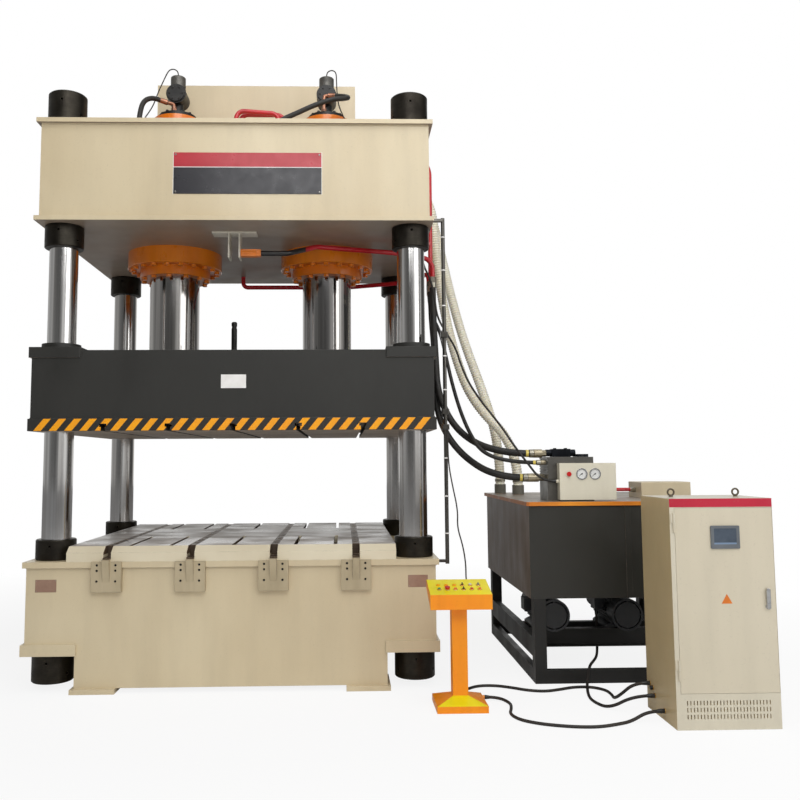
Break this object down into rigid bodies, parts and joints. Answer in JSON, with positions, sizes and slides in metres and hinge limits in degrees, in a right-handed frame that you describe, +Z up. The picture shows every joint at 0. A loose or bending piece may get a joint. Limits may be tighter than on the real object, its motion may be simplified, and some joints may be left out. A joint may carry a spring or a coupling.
{
  "type": "hydraulic press",
  "caption": "Four-column hydraulic press with bed, sliding platen, crown cylinders, separate power unit on a stand, control cabinet and push-button console joined by hoses.",
  "frame": {"origin": "on the floor, midway between the four columns", "axes": "+X to the operator's right, towards the power unit; +Y to the back; +Z up"},
  "size_m": [6.179, 3.8899, 6.0962],
  "materials": {
    "cream_paint": "cream enamel on welded steel",
    "slate_paint": "dark grey enamel on welded steel",
    "table_paint": "oily machined top, cream enamel on the edges",
    "orange_paint": "orange enamel on turned steel",
    "ground_steel": "ground and oiled steel",
    "chrome_ram": "hard-chromed ground steel",
    "red_paint": "red enamel on steel pipe",
    "black_steel": "black oiled steel",
    "hazard": "orange with black slanted stripes",
    "white_paint": "cream enamel sheet",
    "lid_orange": "orange-brown edged lid with dark tread",
    "hose_rubber": "matt black rubber hose",
    "cable_black": "matt black cable sheath",
    "clear_hose": "milky ribbed suction hose",
    "block_steel": "blackened manifold steel",
    "motor_paint": "near-black paint on cast iron",
    "fan_plastic": "black moulded fan on a steel shaft",
    "gauge_case": "bright gauge case with a pale dial",
    "needle_black": "black pointer",
    "cabinet_paint": "cream cabinet paint with a crimson band",
    "door_paint": "cream door paint",
    "handle_chrome": "polished swing handle",
    "screen_glass": "dark blue-grey display in a grey bezel",
    "gland_plastic": "black cable glands",
    "switchgear": "grey and white switchgear on a zinced plate",
    "console_paint": "orange console stand",
    "console_panel": "orange box with a yellow panel",
    "plastic_white": "white button",
    "plastic_green": "green button",
    "plastic_red": "red button",
    "plastic_orange": "orange button",
    "plastic_black": "black selector",
    "plastic_blue": "blue-grey selector"
  },
  "bodies": {
    "press": {"bed": "cream_paint", "crown": "cream_paint", "columns": "ground_steel", "column_nuts": "black_steel", "table": "table_paint", "die_lift_rails": "black_steel", "rail_brackets": "cream_paint", "cylinders": "orange_paint", "cylinder_glands": "orange_paint", "prefill_valves": "block_steel", "top_oil_box": "cream_paint", "red_pipes": "red_paint", "latch_bracket": "cream_paint", "limit_rod": "ground_steel", "oil_tank": "slate_paint", "tank_lid": "lid_orange", "tank_stand": "black_steel", "motors": "motor_paint", "pumps": "block_steel", "valve_block": "block_steel", "gauge_box": "white_paint", "gauges": "gauge_case", "return_box": "cream_paint", "cabinet_body": "cabinet_paint", "cable_glands": "gland_plastic", "contactor_panel": "switchgear", "console_stand": "console_paint", "console_box": "console_panel", "pressure_hose_upper": "hose_rubber", "pressure_hose_lower": "hose_rubber", "pilot_hose": "hose_rubber", "signal_cable": "cable_black", "return_hose_front": "clear_hose", "return_hose_rear": "clear_hose", "console_cable": "cable_black", "console_supply_cable": "cable_black", "motor_cable": "cable_black"},
    "moving_slide": {"slide": "slate_paint", "rams": "chrome_ram", "guide_bushes": "slate_paint", "hazard_band": "hazard", "locking_bar": "black_steel"},
    "latch_pin": {"latch_pin": "ground_steel"},
    "fan_left": {"motor_fan_left": "fan_plastic"},
    "fan_right": {"motor_fan_right": "fan_plastic"},
    "needle_left": {"gauge_needle_left": "needle_black"},
    "needle_right": {"gauge_needle_right": "needle_black"},
    "unit_button": {"unit_button": "plastic_red"},
    "door": {"cabinet_door": "door_paint", "touch_screen": "screen_glass"},
    "door_handle": {"door_handle": "handle_chrome"},
    "button_white": {"button_white": "plastic_white"},
    "button_green": {"button_green": "plastic_green"},
    "emergency_stop": {"emergency_stop": "plastic_red"},
    "button_orange_middle": {"button_orange_middle": "plastic_orange"},
    "button_red": {"button_red": "plastic_red"},
    "button_orange_right": {"button_orange_right": "plastic_orange"},
    "selector_black_back": {"selector_black_back": "plastic_black"},
    "selector_blue": {"selector_blue": "plastic_blue"},
    "selector_black_front": {"selector_black_front": "plastic_black"}
  },
  "joints": [
    {"name": "slide_stroke", "type": "slide", "parent": "press", "child": "moving_slide", "axis": [0, 0, 1], "range_m": [-0.5, 0.7]},
    {"name": "latch_pin_slide", "type": "slide", "parent": "press", "child": "latch_pin", "axis": [-1, 0, 0], "range_m": [0, 0.07]},
    {"name": "fan_left_spin", "type": "hinge", "parent": "press", "child": "fan_left", "pos_m": [2.845, -0.94, 0.53], "axis": [0, 1, 0], "continuous": true},
    {"name": "fan_right_spin", "type": "hinge", "parent": "press", "child": "fan_right", "pos_m": [3.511, -0.94, 0.53], "axis": [0, 1, 0], "continuous": true},
    {"name": "needle_left_turn", "type": "hinge", "parent": "press", "child": "needle_left", "pos_m": [3.076, -1.133, 1.802], "axis": [0, 1, 0], "range_deg": [0, 250]},
    {"name": "needle_right_turn", "type": "hinge", "parent": "press", "child": "needle_right", "pos_m": [3.195, -1.133, 1.802], "axis": [0, 1, 0], "range_deg": [0, 250]},
    {"name": "unit_button_press", "type": "slide", "parent": "press", "child": "unit_button", "axis": [0, 1, 0], "range_m": [0, 0.004], "stiffness_N_per_m": 400, "springref_m": -0.004},
    {"name": "cabinet_door_hinge", "type": "hinge", "parent": "press", "child": "door", "pos_m": [3.354, -2.4835, 0.913], "axis": [0, 0, -1], "range_deg": [0, 110]},
    {"name": "door_handle_turn", "type": "hinge", "parent": "door", "child": "door_handle", "pos_m": [4.022, -2.475, 0.862], "axis": [0, 1, 0], "range_deg": [0, 90]},
    {"name": "button_white_press", "type": "slide", "parent": "press", "child": "button_white", "axis": [0, 0.2381, -0.9713], "range_m": [0, 0.004], "stiffness_N_per_m": 400, "springref_m": -0.004},
    {"name": "button_green_press", "type": "slide", "parent": "press", "child": "button_green", "axis": [0, 0.2381, -0.9713], "range_m": [0, 0.004], "stiffness_N_per_m": 400, "springref_m": -0.004},
    {"name": "emergency_stop_press", "type": "slide", "parent": "press", "child": "emergency_stop", "axis": [0, 0.2381, -0.9713], "range_m": [0, 0.004], "stiffness_N_per_m": 400, "springref_m": -0.004},
    {"name": "button_orange_middle_press", "type": "slide", "parent": "press", "child": "button_orange_middle", "axis": [0, 0.2381, -0.9713], "range_m": [0, 0.004], "stiffness_N_per_m": 400, "springref_m": -0.004},
    {"name": "button_red_press", "type": "slide", "parent": "press", "child": "button_red", "axis": [0, 0.2381, -0.9713], "range_m": [0, 0.004], "stiffness_N_per_m": 400, "springref_m": -0.004},
    {"name": "button_orange_right_press", "type": "slide", "parent": "press", "child": "button_orange_right", "axis": [0, 0.2381, -0.9713], "range_m": [0, 0.004], "stiffness_N_per_m": 400, "springref_m": -0.004},
    {"name": "selector_black_back_turn", "type": "hinge", "parent": "press", "child": "selector_black_back", "pos_m": [1.892, -1.82046, 0.93823], "axis": [0, -0.2381, 0.9713], "range_deg": [-45, 45]},
    {"name": "selector_blue_turn", "type": "hinge", "parent": "press", "child": "selector_blue", "pos_m": [2.02, -1.82046, 0.93823], "axis": [0, -0.2381, 0.9713], "range_deg": [-45, 45]},
    {"name": "selector_black_front_turn", "type": "hinge", "parent": "press", "child": "selector_black_front", "pos_m": [1.892, -1.90302, 0.918], "axis": [0, -0.2381, 0.9713], "range_deg": [-45, 45]}
  ]
}
